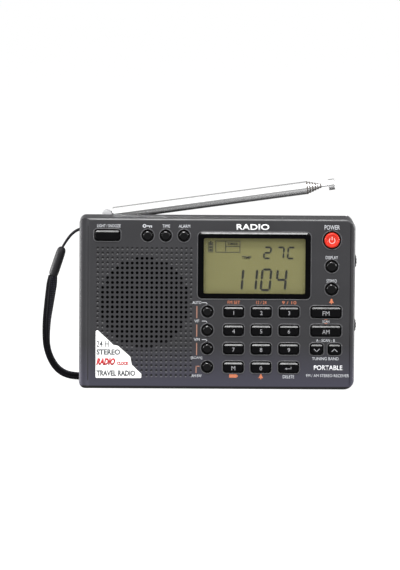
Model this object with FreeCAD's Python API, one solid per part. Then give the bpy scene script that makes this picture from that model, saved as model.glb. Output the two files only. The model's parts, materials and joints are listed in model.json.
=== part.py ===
import FreeCAD, Part
import math
import os

# A portable tabletop radio with a telescopic antenna and a wrist strap.
# Millimetres. X runs to the right of the front panel, -Y is the front, +Z is up.
# The origin is on the bottom face, at the middle of the width and depth.

Vector = FreeCAD.Vector

# Case
CASE_WIDTH = 135.0
CASE_HEIGHT = 84.2
CASE_DEPTH = 26.0
WALL = 1.8
LEFT_CORNER = 3.2
RIGHT_CORNER = 5.0
EDGE_ROUND = 1.6
SEAM_Y = -1.0
SEAM_GAP = 0.12
LAND_DROP = 0.7
LAND_WIDTH = 2.5
STEP_RUN = 1.6

LEFT = -CASE_WIDTH / 2
RIGHT = CASE_WIDTH / 2
FRONT = -CASE_DEPTH / 2
BACK = CASE_DEPTH / 2
INNER_FRONT = FRONT + WALL
INNER_BACK = BACK - WALL
INNER_LEFT = LEFT + WALL
INNER_RIGHT = RIGHT - WALL

# Keys: every cap stands proud of the panel and travels inwards
KEY_PROUD = 0.9
KEY_GAP = 0.28
KEY_ROUND = 0.3
KEY_BEVEL = (0.75, 0.55)
ROUND_KEY_DOME = 0.8
POWER_DISH = (2.75, 0.25)
RECESS_DEPTH = 0.55
RECESS_RIM = 0.55
FLANGE_MARGIN = 0.7
FLANGE_FRONT = INNER_FRONT + 0.1
FLANGE_BACK = FLANGE_FRONT + 0.8
STEM_BACK = -9.5
STEM_RADIUS = 1.0
KEYPAD_COLUMNS = (8.2, 21.7, 35.3)
ROWS = (38.3, 29.2, 20.1, 11.0)
KEYPAD_CAP = (9.05, 4.5)
WIDE_CAP = (14.1, 4.8)
WIDE_X = 53.4
SMALL_CAP = (5.5, 4.6)
DOWN_X = 49.0
UP_X = 57.7
SNOOZE_CAP = (11.6, 4.6)
SNOOZE_AT = (-53.8, 75.6)
TOP_ROW_Z = 75.5
LEFT_COLUMN_X = -4.65
ROUND_CAP = 2.25
POWER_CAP = 3.7
POWER_AT = (56.0, 73.7)
SIDE_CAP = 2.45
CAP_CORNER = 1.0

# Display
BEZEL_SIZE = (55.1, 32.7)
BEZEL_AT = (18.1, 61.0)
BEZEL_PROUD = 0.4
BEZEL_SEAT = 0.9
BEZEL_CORNER = 1.6
BEZEL_BEVEL = (0.38, 0.85)
VIEW_SIZE = (49.7, 27.2)
VIEW_AT = (18.2, 60.8)
WINDOW_MARGIN = 0.7
WINDOW_THICK = 0.95
LCD_SIZE = (54.0, 31.0)

# Speaker and its grille
SPEAKER_AT = (-35.6, 42.7)
SPEAKER_RADIUS = 25.0
GRILLE_PITCH = 2.405
GRILLE_COLUMNS = 20
GRILLE_ROWS = 27
GRILLE_CENTRE_ROW = 11
HOLE_RADIUS = 0.74
DIMPLE_RADIUS = 0.8
DIMPLE_DEPTH = 0.45
DIMPLE_BOTTOM = 0.15
OPEN_REACH = 9.25

# Printed circuit board
BOARD_FRONT = -6.4
BOARD_BACK = -4.8
SWITCH_TIP = -8.85

# Telescopic antenna
PIVOT = Vector(-54.3, 9.0, 83.8)
ANTENNA_TILT = 8.0
TUBE_START = 2.9
TUBE_END = 100.0
TUBE_RADII = (3.22, 2.79, 2.36, 1.93, 1.50, 1.07)
TUBE_WALL = 0.35
SECTION_START = 8.0
SECTION_STEP = 1.33
ROD_RADIUS = 0.64
ROD_END = 110.2
TIP_RADIUS = 2.75
TIP_LENGTH = 3.6
GROOVE_FLOOR = 80.2
GROOVE_FRONT = 5.4
GROOVE_RIGHT = 64.4
GROOVE_WALL = 1.3
TURRET_RADIUS = 3.9
TURRET_FLAT = 2.45
SWIVEL_RADIUS = 3.0

# Thumb wheels on the right side
WHEEL_RADIUS = 9.0
WHEEL_X = 59.85
WHEEL_HEIGHTS = {"tuning_wheel": 62.2, "volume_wheel": 30.5}
WHEEL_FRONT = 0.6
WHEEL_BACK = 4.1
WHEEL_GROOVES = 36

# Battery compartment
CELL_RADIUS = 7.15
CELL_LENGTH = 50.5
CELL_LEFT = -4.0
CELL_Y = 3.3
CELL_HEIGHTS = (10.6, 25.6, 40.6)
TUB = (-7.0, 48.5, -4.0, 3.2, 48.2)
DOOR = (-9.2, 50.7, 2.4, 50.2)
DOOR_GAP = 0.25
DOOR_HALF = WALL / 2
DOOR_PIN = 0.5
DOOR_PIVOT = (BACK - DOOR_HALF, DOOR[2] + DOOR_GAP + DOOR_HALF)

# Fold-out stand on the back
STAND = (-56.6, -19.4, 13.6)
STAND_PIVOT = (12.1, 45.0)
STAND_HALF = 0.75
STAND_PIN = 0.5

# Screws: x, z
SCREWS = ((-62.5, 8.0), (62.0, 8.0), (62.5, 77.0), (-62.0, 69.0))
BOSS_RADIUS = 2.5

# Sockets on the left side
JACK_AT = (4.5, 34.0)
JACK_BORE = 1.8
USB_AT = (4.5, 21.0)

# Wrist strap
STRAP_PIN = (-65.43, 10.6)
STRAP_PIN_RADIUS = 0.7
STRAP_POCKET = (-62.6, 7.5, 73.0, 78.5)
STRING_DIAMETER = 1.1
STRING_ROUTE = (
    (-76.5, 11.0, 66.9), (-73.9, 10.7, 71.2), (-70.7, 9.9, 74.8), (-67.4, 9.0, 76.5), (-63.9, 8.9, 76.9),
    (-63.9, 12.3, 76.9), (-67.4, 12.4, 76.6), (-70.8, 12.3, 74.9), (-74.0, 12.3, 71.4), (-76.5, 12.2, 66.9),
)
SLEEVE_TOP = Vector(-76.4, 11.6, 66.9)
SLEEVE_BOTTOM = Vector(-81.0, 12.2, 53.0)
SLEEVE_RADIUS = 2.3
SLEEVE_GAP = 0.3
BAND_DIAMETER = 3.4
BAND_ROUTE = (
    (-81.0, 12.2, 53.0), (-82.6, 12.8, 41.5), (-84.4, 13.4, 28.0), (-84.1, 14.6, 14.5), (-77.3, 16.4, 3.4),
    (-64.5, 18.6, 1.7), (-53.0, 21.5, 1.7), (-41.5, 20.5, 1.7), (-30.5, 23.5, 1.7), (-20.5, 21.0, 1.7),
)


def block(x0, x1, y0, y1, z0, z1):
    """A box between two corners."""
    return Part.makeBox(x1 - x0, y1 - y0, z1 - z0, Vector(x0, y0, z0))


def disc(x, z, radius, y0, y1):
    """A cylinder along Y."""
    return Part.makeCylinder(radius, y1 - y0, Vector(x, y0, z), Vector(0, 1, 0))


def post(x, y, radius, z0, z1):
    """A cylinder along Z."""
    return Part.makeCylinder(radius, z1 - z0, Vector(x, y, z0), Vector(0, 0, 1))


def bar_x(y, z, radius, x0, x1):
    """A cylinder along X."""
    return Part.makeCylinder(radius, x1 - x0, Vector(x0, y, z), Vector(1, 0, 0))


def outline(x0, x1, z0, z1, y, radii):
    """A rectangle at depth y with one corner radius each: lower left, lower right, upper right, upper left."""
    corners = ((x0, z0, 180), (x1, z0, 270), (x1, z1, 0), (x0, z1, 90))
    inward = ((1, 1), (-1, 1), (-1, -1), (1, -1))
    edges = []
    ends = []
    for (x, z, start), (sx, sz), r in zip(corners, inward, radii):
        centre = (x + sx * r, z + sz * r)
        angles = [math.radians(start + turn) for turn in (0, 45, 90)]
        points = [Vector(centre[0] + r * math.cos(a), y, centre[1] + r * math.sin(a)) for a in angles]
        ends.append((points[0], points[2]))
        edges.append(Part.Arc(*points).toShape())
    for i in range(4):
        edges.append(Part.LineSegment(ends[i][1], ends[(i + 1) % 4][0]).toShape())
    return Part.Wire(Part.__sortEdges__(edges))


def plate(x0, x1, z0, z1, y0, y1, radii):
    """A rounded rectangle with depth y0 to y1."""
    face = Part.Face(outline(x0, x1, z0, z1, y0, radii))
    return face.extrude(Vector(0, y1 - y0, 0))


def pad_outline(at, size, corner, y):
    """A rounded rectangle's wire about its centre."""
    half_w, half_h = size[0] / 2, size[1] / 2
    return outline(at[0] - half_w, at[0] + half_w, at[1] - half_h, at[1] + half_h, y, (corner,) * 4)


def pad(at, size, corner, y0, y1):
    """A rounded rectangle about its centre, as a solid."""
    return Part.Face(pad_outline(at, size, corner, y0)).extrude(Vector(0, y1 - y0, 0))


def grown(size, margin):
    """A width and height with the same margin added on every side."""
    return (size[0] + 2 * margin, size[1] + 2 * margin)


def edges_at(shape, y):
    """The edges that lie wholly in the plane at depth y."""
    return [e for e in shape.Edges if abs(e.BoundBox.YMin - y) < 1e-4 and abs(e.BoundBox.YMax - y) < 1e-4]


def joined(shapes):
    """One solid fused from several that meet."""
    return shapes[0].multiFuse(shapes[1:]).removeSplitter()


def save(name, shape):
    """Write one sub-part."""
    if not shape.isValid():
        raise ValueError("invalid shape: " + name)
    shape.exportStep("parts/" + name + ".step")


# ---------------------------------------------------------------- controls

def rectangular(at, size):
    return {"at": at, "size": size}


def circular(at, radius):
    return {"at": at, "radius": radius}


def controls():
    """Every push button: name, place, and cap size or radius."""
    keys = {}
    digits = iter("123456789")
    for z in ROWS[:3]:
        for x in KEYPAD_COLUMNS:
            keys["key_" + next(digits)] = rectangular((x, z), KEYPAD_CAP)
    for name, x in zip(("key_memory", "key_0", "key_enter"), KEYPAD_COLUMNS):
        keys[name] = rectangular((x, ROWS[3]), KEYPAD_CAP)
    keys["button_fm"] = rectangular((WIDE_X, ROWS[0]), WIDE_CAP)
    keys["button_am"] = rectangular((WIDE_X, ROWS[1]), WIDE_CAP)
    keys["button_down"] = rectangular((DOWN_X, ROWS[2]), SMALL_CAP)
    keys["button_up"] = rectangular((UP_X, ROWS[2]), SMALL_CAP)
    keys["button_light_snooze"] = rectangular(SNOOZE_AT, SNOOZE_CAP)
    keys["button_lock"] = circular((-34.1, TOP_ROW_Z), ROUND_CAP)
    keys["button_time"] = circular((-25.3, TOP_ROW_Z), ROUND_CAP)
    keys["button_alarm"] = circular((-16.4, TOP_ROW_Z), ROUND_CAP)
    keys["button_power"] = circular(POWER_AT, POWER_CAP)
    keys["button_display"] = circular((56.0, 60.9), SIDE_CAP)
    keys["button_stereo"] = circular((56.0, 49.7), SIDE_CAP)
    left_column = ("button_auto_store", "button_view_frequency", "button_view_memory", "button_bandwidth")
    for name, z in zip(left_column, ROWS):
        keys[name] = circular((LEFT_COLUMN_X, z), ROUND_CAP)
    return keys


def cap_shape(key, margin, y0, y1):
    """The cap's outline with a margin all round, as a solid from y0 to y1."""
    if "radius" in key:
        return disc(key["at"][0], key["at"][1], key["radius"] + margin, y0, y1)
    return pad(key["at"], grown(key["size"], margin), CAP_CORNER + margin / 2, y0, y1)


def push_button(key):
    """A cap with a flange behind the panel and a short stem: round caps are domed, others bevelled along the top."""
    face = FRONT - KEY_PROUD
    x, z = key["at"]
    cap = cap_shape(key, 0.0, face, FLANGE_BACK)
    if "radius" in key:
        cap = cap.makeFillet(ROUND_KEY_DOME, edges_at(cap, face))
        if key["radius"] == POWER_CAP:
            radius, depth = POWER_DISH
            cap = cap.cut(Part.makeCone(radius, radius - depth, depth, Vector(x, face, z), Vector(0, 1, 0)))
    else:
        width, height = key["size"]
        drop, run = KEY_BEVEL
        top = z + height / 2
        corner = [Vector(x - width, face - 1, top - drop - drop / run), Vector(x - width, face + run, top),
                  Vector(x - width, face - 1, top + 1)]
        wedge = Part.Face(Part.makePolygon(corner + [corner[0]])).extrude(Vector(2 * width, 0, 0))
        cap = cap.makeFillet(KEY_ROUND, edges_at(cap, face)).cut(wedge)
    flange = cap_shape(key, FLANGE_MARGIN, FLANGE_FRONT, FLANGE_BACK)
    stem = disc(x, z, STEM_RADIUS, FLANGE_BACK - 0.2, STEM_BACK)
    return joined([cap, flange, stem])


def button_opening(key):
    """The hole for a cap: a flared recess at the panel's face, then a clearance hole."""
    hole = cap_shape(key, KEY_GAP, FRONT - 1, INNER_FRONT + 0.5)
    flare_front = FRONT - 0.02
    if "radius" in key:
        wide = key["radius"] + RECESS_RIM + 0.15
        narrow = key["radius"] + KEY_GAP - 0.01
        start = Vector(key["at"][0], flare_front, key["at"][1])
        flare = Part.makeCone(wide, narrow, RECESS_DEPTH, start, Vector(0, 1, 0))
        return [hole, flare]
    wires = []
    for margin, y in ((RECESS_RIM, flare_front), (KEY_GAP - 0.01, flare_front + RECESS_DEPTH)):
        wires.append(pad_outline(key["at"], grown(key["size"], margin), CAP_CORNER + margin / 2, y))
    return [hole, Part.makeLoft(wires, True, True)]


# ---------------------------------------------------------------- case shells

def side_profile():
    """The case's plan outline: a rounded left pillar below the panel, an S-shaped step, and a right groove."""
    radius = (STEP_RUN ** 2 + (LAND_DROP / 2) ** 2) / LAND_DROP
    turn = math.asin(STEP_RUN / radius)
    pillar = FRONT + LAND_DROP
    pillar_round = 2.2
    step = LEFT + LAND_WIDTH

    def rise(angle):
        return radius * math.sin(angle), radius * (1 - math.cos(angle))

    half_x, half_y = rise(turn / 2)
    mid = Vector(step + STEP_RUN, pillar - LAND_DROP / 2, 0)
    top = Vector(step + 2 * STEP_RUN, FRONT, 0)
    diagonal = pillar_round * (1 - math.sqrt(0.5))
    start = Vector(LEFT, pillar + pillar_round, 0)
    land = Vector(LEFT + pillar_round, pillar, 0)
    groove_x = RIGHT - 2.3
    outside = 2.0
    edges = [
        Part.Arc(start, Vector(LEFT + diagonal, pillar + diagonal, 0), land).toShape(),
        Part.LineSegment(land, Vector(step, pillar, 0)).toShape(),
        Part.Arc(Vector(step, pillar, 0), Vector(step + half_x, pillar - half_y, 0), mid).toShape(),
        Part.Arc(mid, Vector(top.x - half_x, FRONT + half_y, 0), top).toShape(),
    ]
    corners = [
        top,
        Vector(groove_x - 0.25, FRONT, 0),
        Vector(groove_x, FRONT + 0.3, 0),
        Vector(groove_x + 0.25, FRONT, 0),
        Vector(RIGHT + outside, FRONT, 0),
        Vector(RIGHT + outside, BACK + outside, 0),
        Vector(LEFT, BACK + outside, 0),
        start,
    ]
    for a, b in zip(corners, corners[1:]):
        edges.append(Part.LineSegment(a, b).toShape())
    face = Part.Face(Part.Wire(Part.__sortEdges__(edges)))
    return face.extrude(Vector(0, 0, CASE_HEIGHT))


def case_body():
    """The closed outer shape of both shells together."""
    radii = (LEFT_CORNER, RIGHT_CORNER, RIGHT_CORNER, LEFT_CORNER)
    body = plate(LEFT, RIGHT, 0, CASE_HEIGHT, FRONT, BACK, radii)
    body = body.makeFillet(EDGE_ROUND, edges_at(body, FRONT) + edges_at(body, BACK))
    return body.common(side_profile())


def case_cavity():
    """The space inside the walls."""
    radii = (LEFT_CORNER - 1.4, RIGHT_CORNER - 1.4, RIGHT_CORNER - 1.4, LEFT_CORNER - 1.4)
    return plate(INNER_LEFT, INNER_RIGHT, WALL, CASE_HEIGHT - WALL, INNER_FRONT, INNER_BACK, radii)


def grille_cuts():
    """Sound holes inside a circle, shallow conical dimples on the rest of the grid."""
    cuts = []
    for column in range(GRILLE_COLUMNS):
        for row in range(GRILLE_ROWS):
            across = column - (GRILLE_COLUMNS - 1) / 2
            down = row - GRILLE_CENTRE_ROW
            x = SPEAKER_AT[0] + across * GRILLE_PITCH
            z = SPEAKER_AT[1] - down * GRILLE_PITCH
            if math.hypot(across, down) <= OPEN_REACH:
                cuts.append(disc(x, z, HOLE_RADIUS, FRONT - 0.5, INNER_FRONT + 0.5))
            else:
                mouth = Vector(x, FRONT, z)
                cuts.append(Part.makeCone(DIMPLE_RADIUS, DIMPLE_BOTTOM, DIMPLE_DEPTH, mouth, Vector(0, 1, 0)))
    return cuts


def front_cabinet(body, keys):
    """The front shell, with the grille, the display seat, the button openings and the screw bosses."""
    shell = body.common(block(LEFT - 1, RIGHT + 1, FRONT - 1, SEAM_Y - SEAM_GAP / 2, -1, CASE_HEIGHT + 1))
    shell = shell.cut(case_cavity())
    bosses = [disc(x, z, BOSS_RADIUS, INNER_FRONT - 0.2, SEAM_Y - SEAM_GAP / 2) for x, z in SCREWS]
    board_posts = ((2.0, 43.3), (28.5, 43.3), (45.6, 43.3), (15.0, 15.55), (42.2, 15.55))
    bosses += [disc(x, z, 1.4, INNER_FRONT - 0.2, BOARD_FRONT - 0.1) for x, z in board_posts]
    ring = disc(SPEAKER_AT[0], SPEAKER_AT[1], SPEAKER_RADIUS + 1.2, INNER_FRONT - 0.2, INNER_FRONT + 2.0)
    ring = ring.cut(disc(SPEAKER_AT[0], SPEAKER_AT[1], SPEAKER_RADIUS + 0.2, INNER_FRONT - 1, INNER_FRONT + 3))
    shell = joined([shell, ring] + bosses)
    cuts = [disc(x, z, 1.2, INNER_FRONT + 1.5, SEAM_Y + 1) for x, z in SCREWS]
    for key in keys.values():
        cuts += button_opening(key)
    cuts.append(pad(BEZEL_AT, grown(BEZEL_SIZE, 0.12), BEZEL_CORNER, FRONT - 1, FRONT + BEZEL_SEAT))
    cuts.append(pad(VIEW_AT, grown(VIEW_SIZE, WINDOW_MARGIN + 0.2), 1.0, FRONT - 1, INNER_FRONT + 1))
    return shell.cut(cuts + grille_cuts())


def battery_tub():
    """The compartment's walls, moulded into the rear shell."""
    x0, x1, y0, z0, z1 = TUB
    skin = 0.8
    walls = block(x0 - skin, x1 + skin, y0 - 0.7, INNER_BACK - 0.2, z0 - skin, z1 + skin)
    rim = block(DOOR[0] - 1.2, DOOR[1] + 1.0, INNER_BACK - 1.2, INNER_BACK - 0.2, 1.0, DOOR[3] + 1.2)
    rim = rim.fuse(block(DOOR[0] - 1.2, DOOR[0], INNER_BACK - 1.2, INNER_BACK + 0.1, 1.0, DOOR[3] + 1.2))
    rim = rim.fuse(block(DOOR[1], DOOR[1] + 1.0, INNER_BACK - 1.2, INNER_BACK + 0.1, 1.0, DOOR[3] + 1.2))
    rim = rim.fuse(block(DOOR[0] - 1.2, DOOR[1] + 1.0, INNER_BACK - 1.2, INNER_BACK + 0.1, DOOR[3], DOOR[3] + 1.2))
    return [walls, rim]


def rear_cabinet(body):
    """The rear shell, with the battery tub, antenna groove, stand pocket, strap pocket and side openings."""
    shell = body.common(block(LEFT - 1, RIGHT + 1, SEAM_Y + SEAM_GAP / 2, BACK + 1, -1, CASE_HEIGHT + 1))
    shell = shell.cut(case_cavity())
    added = [disc(x, z, BOSS_RADIUS + 0.6, SEAM_Y + SEAM_GAP / 2, INNER_BACK + 0.2) for x, z in SCREWS]
    added += battery_tub()
    lip = plate(INNER_LEFT - 0.2, INNER_RIGHT + 0.2, WALL - 0.2, CASE_HEIGHT - WALL + 0.2,
                SEAM_Y + SEAM_GAP / 2, 1.0, (1.8, 3.6, 3.6, 1.8))
    lip = lip.cut(plate(INNER_LEFT + 0.8, INNER_RIGHT - 0.8, WALL + 0.8, CASE_HEIGHT - WALL - 0.8,
                        SEAM_Y - 1, 2.0, (1.2, 3.0, 3.0, 1.2)))
    added.append(lip)
    added.append(block(INNER_LEFT - 0.2, INNER_RIGHT + 0.2, GROOVE_FRONT - GROOVE_WALL, INNER_BACK + 0.2,
                       GROOVE_FLOOR - GROOVE_WALL, CASE_HEIGHT - WALL + 0.2))
    added.append(post(PIVOT.x, PIVOT.y, SWIVEL_RADIUS + 1.4, 73.5, GROOVE_FLOOR))
    pocket_x, pocket_y, pocket_z0, pocket_z1 = STRAP_POCKET
    added.append(block(INNER_LEFT - 0.2, pocket_x + 1.2, pocket_y - 1.2, INNER_BACK + 0.2,
                       pocket_z0 - 1.2, pocket_z1 + 1.2))
    stand_left, stand_right, stand_low = STAND
    added.append(block(stand_left - 2.0, stand_right + 2.0, 9.6, INNER_BACK + 0.2,
                       stand_low - 5.5, STAND_PIVOT[1] + 3.0))
    # Everything added is trimmed to the case's own outline.
    shell = joined([shell] + [piece.common(body) for piece in added])

    cuts = [block(LEFT - 1, GROOVE_RIGHT, GROOVE_FRONT, BACK + 1, GROOVE_FLOOR, CASE_HEIGHT + 1)]
    cuts.append(post(PIVOT.x, PIVOT.y, TURRET_RADIUS + 0.5, GROOVE_FLOOR, CASE_HEIGHT + 1))
    cuts.append(post(PIVOT.x, PIVOT.y, SWIVEL_RADIUS + 0.07, 70.0, GROOVE_FLOOR + 1))
    cuts.append(post(PIVOT.x, PIVOT.y, SWIVEL_RADIUS + 0.6, 71.9, 73.5))
    cuts.append(block(LEFT - 1, pocket_x, pocket_y, BACK + 1, pocket_z0, pocket_z1))
    x0, x1, y0, z0, z1 = TUB
    cuts.append(block(x0, x1, y0, BACK + 1, z0, z1))
    cuts.append(pad(((DOOR[0] + DOOR[1]) / 2, (DOOR[2] + DOOR[3]) / 2),
                    (DOOR[1] - DOOR[0], DOOR[3] - DOOR[2]), 0.6, INNER_BACK - 0.2, BACK + 1))
    cuts.append(bar_x(DOOR_PIVOT[0], DOOR_PIVOT[1], DOOR_PIN + 0.08, DOOR[0] - 1.2, DOOR[1] + 1.2))
    cuts.append(plate(stand_left - 0.4, stand_right + 0.4, stand_low - 0.4, STAND_PIVOT[1] + 1.3,
                      11.05, BACK + 1, (3.2, 3.2, 0.5, 0.5)))
    middle = (stand_left + stand_right) / 2
    cuts.append(plate(middle - 6, middle + 6, stand_low - 4.0, stand_low + 2.0, 11.05, BACK + 1, (2, 2, 0.5, 0.5)))
    cuts.append(bar_x(STAND_PIVOT[0], STAND_PIVOT[1], STAND_PIN + 0.08, stand_left - 1.5, stand_right + 1.5))
    for x, z in SCREWS:
        cuts.append(disc(x, z, 1.4, SEAM_Y - 1, INNER_BACK))
        cuts.append(disc(x, z, 2.45, 9.35, BACK + 1))
    for z in WHEEL_HEIGHTS.values():
        cuts.append(block(WHEEL_X, RIGHT + 1, WHEEL_FRONT - 0.4, WHEEL_BACK + 0.4, z - 8.0, z + 8.0))
    cuts.append(bar_x(JACK_AT[0], JACK_AT[1], 3.1, LEFT - 1, INNER_LEFT + 1))
    cuts.append(block(LEFT - 1, INNER_LEFT + 1, USB_AT[0] - 2.1, USB_AT[0] + 2.1, USB_AT[1] - 4.2, USB_AT[1] + 4.2))
    shell = shell.cut(cuts)
    pin = post(STRAP_PIN[0], STRAP_PIN[1], STRAP_PIN_RADIUS, pocket_z0 - 0.6, pocket_z1 + 0.6)
    return joined([shell, pin])


def battery_door():
    """A flush door with a half-round hinge edge below, two hinge pins and grip grooves above."""
    x0, x1 = DOOR[0] + DOOR_GAP, DOOR[1] - DOOR_GAP
    z0, z1 = DOOR[2] + DOOR_GAP, DOOR[3] - DOOR_GAP
    y, z = DOOR_PIVOT
    leaf = plate(x0, x1, z0, z1, INNER_BACK, BACK, (0.9,) * 4)
    leaf = leaf.cut(block(x0 - 1, x1 + 1, INNER_BACK - 1, BACK + 1, z0 - 1, z))
    barrel = bar_x(y, z, DOOR_HALF, x0 + 0.6, x1 - 0.6)
    pins = [bar_x(y, z, DOOR_PIN, x0 - 1.0, x0 + 1.0), bar_x(y, z, DOOR_PIN, x1 - 1.0, x1 + 1.0)]
    door = joined([leaf, barrel] + pins)
    middle = (x0 + x1) / 2
    grooves = [block(middle - 9, middle + 9, BACK - 0.5, BACK + 1, z1 - 3.2 - 1.6 * i, z1 - 2.4 - 1.6 * i)
               for i in range(5)]
    return door.cut(grooves)


def rear_stand():
    """A flat foot hinged on two side pins at its upper edge."""
    x0, x1, z0 = STAND
    y, z = STAND_PIVOT
    front, back = y - STAND_HALF, y + STAND_HALF
    edges = [
        Part.LineSegment(Vector(x0, front, z), Vector(x0, front, z0)).toShape(),
        Part.LineSegment(Vector(x0, front, z0), Vector(x0, back, z0)).toShape(),
        Part.LineSegment(Vector(x0, back, z0), Vector(x0, back, z)).toShape(),
        Part.Arc(Vector(x0, back, z), Vector(x0, y, z + STAND_HALF), Vector(x0, front, z)).toShape(),
    ]
    leg = Part.Face(Part.Wire(edges)).extrude(Vector(x1 - x0, 0, 0))
    corners = [e for e in leg.Edges if e.BoundBox.ZMax < z0 + 0.01 and e.BoundBox.XLength < 0.01]
    leg = leg.makeFillet(3.0, corners)
    pins = [bar_x(y, z, STAND_PIN, x0 - 1.4, x0 + 0.5), bar_x(y, z, STAND_PIN, x1 - 0.5, x1 + 1.4)]
    stand = leg.fuse(pins)
    window = plate(x0 + 8, x1 - 8, z0 + 9, z - 8, front - 1, front + 0.5, (2.0,) * 4)
    return stand.cut(window)


def case_screws():
    """Four cross-head screws in their counterbores."""
    solids = []
    for x, z in SCREWS:
        shank = disc(x, z, 1.1, -9.0, 9.45)
        head = disc(x, z, 2.2, 9.45, 11.0)
        screw = joined([shank, head])
        arms = [block(x - 1.3, x + 1.3, 10.3, 12, z - 0.25, z + 0.25),
                block(x - 0.25, x + 0.25, 10.3, 12, z - 1.3, z + 1.3)]
        solids.append(screw.cut(arms))
    return Part.makeCompound(solids)


# ---------------------------------------------------------------- display

def display_bezel():
    """The glossy frame round the display, with wide bevelled outer edges."""
    depth, run = BEZEL_BEVEL
    face = FRONT - BEZEL_PROUD
    frame = pad(BEZEL_AT, BEZEL_SIZE, BEZEL_CORNER, face + depth, FRONT + BEZEL_SEAT)
    wires = [pad_outline(BEZEL_AT, BEZEL_SIZE, BEZEL_CORNER, face + depth),
             pad_outline(BEZEL_AT, grown(BEZEL_SIZE, -run), BEZEL_CORNER - run / 2, face)]
    frame = joined([frame, Part.makeLoft(wires, True, True)])
    return frame.cut(pad(VIEW_AT, VIEW_SIZE, 0.8, FRONT - 2, FRONT + 2))


def display_window():
    """The clear cover behind the bezel."""
    back = FRONT + BEZEL_SEAT + WINDOW_THICK
    return pad(VIEW_AT, grown(VIEW_SIZE, WINDOW_MARGIN), 0.9, FRONT + BEZEL_SEAT, back)


def lcd_panel():
    """The glass cell on its backlit holder."""
    x, z = VIEW_AT
    front = INNER_FRONT + 0.1
    glass = block(x - LCD_SIZE[0] / 2, x + LCD_SIZE[0] / 2, front, front + 2.2,
                  z - LCD_SIZE[1] / 2, z + LCD_SIZE[1] / 2)
    holder = block(x - 25, x + 25, front + 2.0, BOARD_FRONT, z - 13.5, z + 13.5)
    return joined([glass, holder])


# ---------------------------------------------------------------- electronics

def main_board():
    """An L-shaped board: behind the controls on the right, and a strip above the speaker."""
    board = block(-8.0, 64.8, BOARD_FRONT, BOARD_BACK, 4.0, 80.0)
    strip = block(-64.0, -8.0, BOARD_FRONT, BOARD_BACK, 70.6, 80.0)
    board = joined([board, strip])
    return board.cut([disc(x, z, BOSS_RADIUS + 0.5, BOARD_FRONT - 1, BOARD_BACK + 1) for x, z in SCREWS])


def key_switches(keys):
    """One tact switch on the board behind each button."""
    solids = []
    for key in keys.values():
        x, z = key["at"]
        base = block(x - 2.25, x + 2.25, BOARD_FRONT - 1.6, BOARD_FRONT, z - 2.25, z + 2.25)
        tip = disc(x, z, 1.1, SWITCH_TIP, BOARD_FRONT - 1.0)
        solids.append(joined([base, tip]))
    return Part.makeCompound(solids)


def turned(profile, x, z):
    """A ring turned about the Y axis through (x, z), from (radius, y) corners."""
    points = [Vector(x + r, y, z) for r, y in profile]
    wire = Part.makePolygon(points + [points[0]])
    return Part.Face(wire).revolve(Vector(x, 0, z), Vector(0, 1, 0), 360)


def speaker_frame():
    """The pressed steel basket."""
    profile = ((25.0, -11.1), (25.0, -10.1), (22.6, -10.1), (12.5, -4.2), (11.0, -4.2), (11.0, -5.0),
               (12.0, -5.0), (21.8, -10.9), (22.0, -11.1))
    return turned(profile, *SPEAKER_AT)


def speaker_cone():
    """The paper cone with its surround and dust cap."""
    profile = ((20.8, -10.8), (20.4, -10.6), (8.0, -6.0), (6.6, -7.0), (0.0, -7.7), (0.0, -8.1),
               (6.8, -7.4), (8.1, -6.45), (20.3, -10.95), (20.8, -11.0))
    return turned(profile, *SPEAKER_AT)


def speaker_magnet():
    """The ring magnet and its back plate."""
    x, z = SPEAKER_AT
    return joined([disc(x, z, 12.5, -4.2, 1.2), disc(x, z, 11.0, 1.2, 3.0)])


def ferrite_rod():
    """The inner AM antenna with its winding."""
    rod = bar_x(2.4, 73.4, 4.0, -46.0, 46.0)
    coil = bar_x(2.4, 73.4, 4.7, 22.0, 40.0)
    return joined([rod, coil])


def wheel_encoders():
    """The two rotary parts that the thumb wheels turn."""
    solids = []
    for z in WHEEL_HEIGHTS.values():
        base = block(WHEEL_X - 4.8, WHEEL_X + 4.8, BOARD_BACK, WHEEL_FRONT - 0.6, z - 5.5, z + 5.5)
        shaft = disc(WHEEL_X, z, 1.5, WHEEL_FRONT - 0.8, WHEEL_BACK + 0.6)
        solids.append(joined([base, shaft]))
    return Part.makeCompound(solids)


def thumb_wheel(z):
    """A thin wheel with a grooved rim and a bore for its shaft."""
    wheel = disc(WHEEL_X, z, WHEEL_RADIUS, WHEEL_FRONT, WHEEL_BACK)
    wheel = wheel.makeChamfer(0.35, edges_at(wheel, WHEEL_FRONT) + edges_at(wheel, WHEEL_BACK))
    cuts = [disc(WHEEL_X, z, 1.56, WHEEL_FRONT - 1, WHEEL_BACK + 1)]
    for i in range(WHEEL_GROOVES):
        angle = 2 * math.pi * i / WHEEL_GROOVES
        reach = WHEEL_RADIUS + 0.1
        cuts.append(disc(WHEEL_X + reach * math.cos(angle), z + reach * math.sin(angle), 0.38,
                         WHEEL_FRONT - 1, WHEEL_BACK + 1))
    return wheel.cut(cuts)


def battery_cells():
    """Three round cells side by side, the middle one reversed."""
    solids = []
    for i, z in enumerate(CELL_HEIGHTS):
        can = bar_x(CELL_Y, z, CELL_RADIUS, CELL_LEFT + 0.6, CELL_LEFT + CELL_LENGTH - 1.4)
        nub = bar_x(CELL_Y, z, 2.6, CELL_LEFT + CELL_LENGTH - 1.6, CELL_LEFT + CELL_LENGTH)
        cell = joined([can, nub])
        if i == 1:
            centre = Vector(CELL_LEFT + CELL_LENGTH / 2, CELL_Y, z)
            cell.rotate(centre, Vector(0, 0, 1), 180)
        solids.append(cell)
    return Part.makeCompound(solids)


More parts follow.
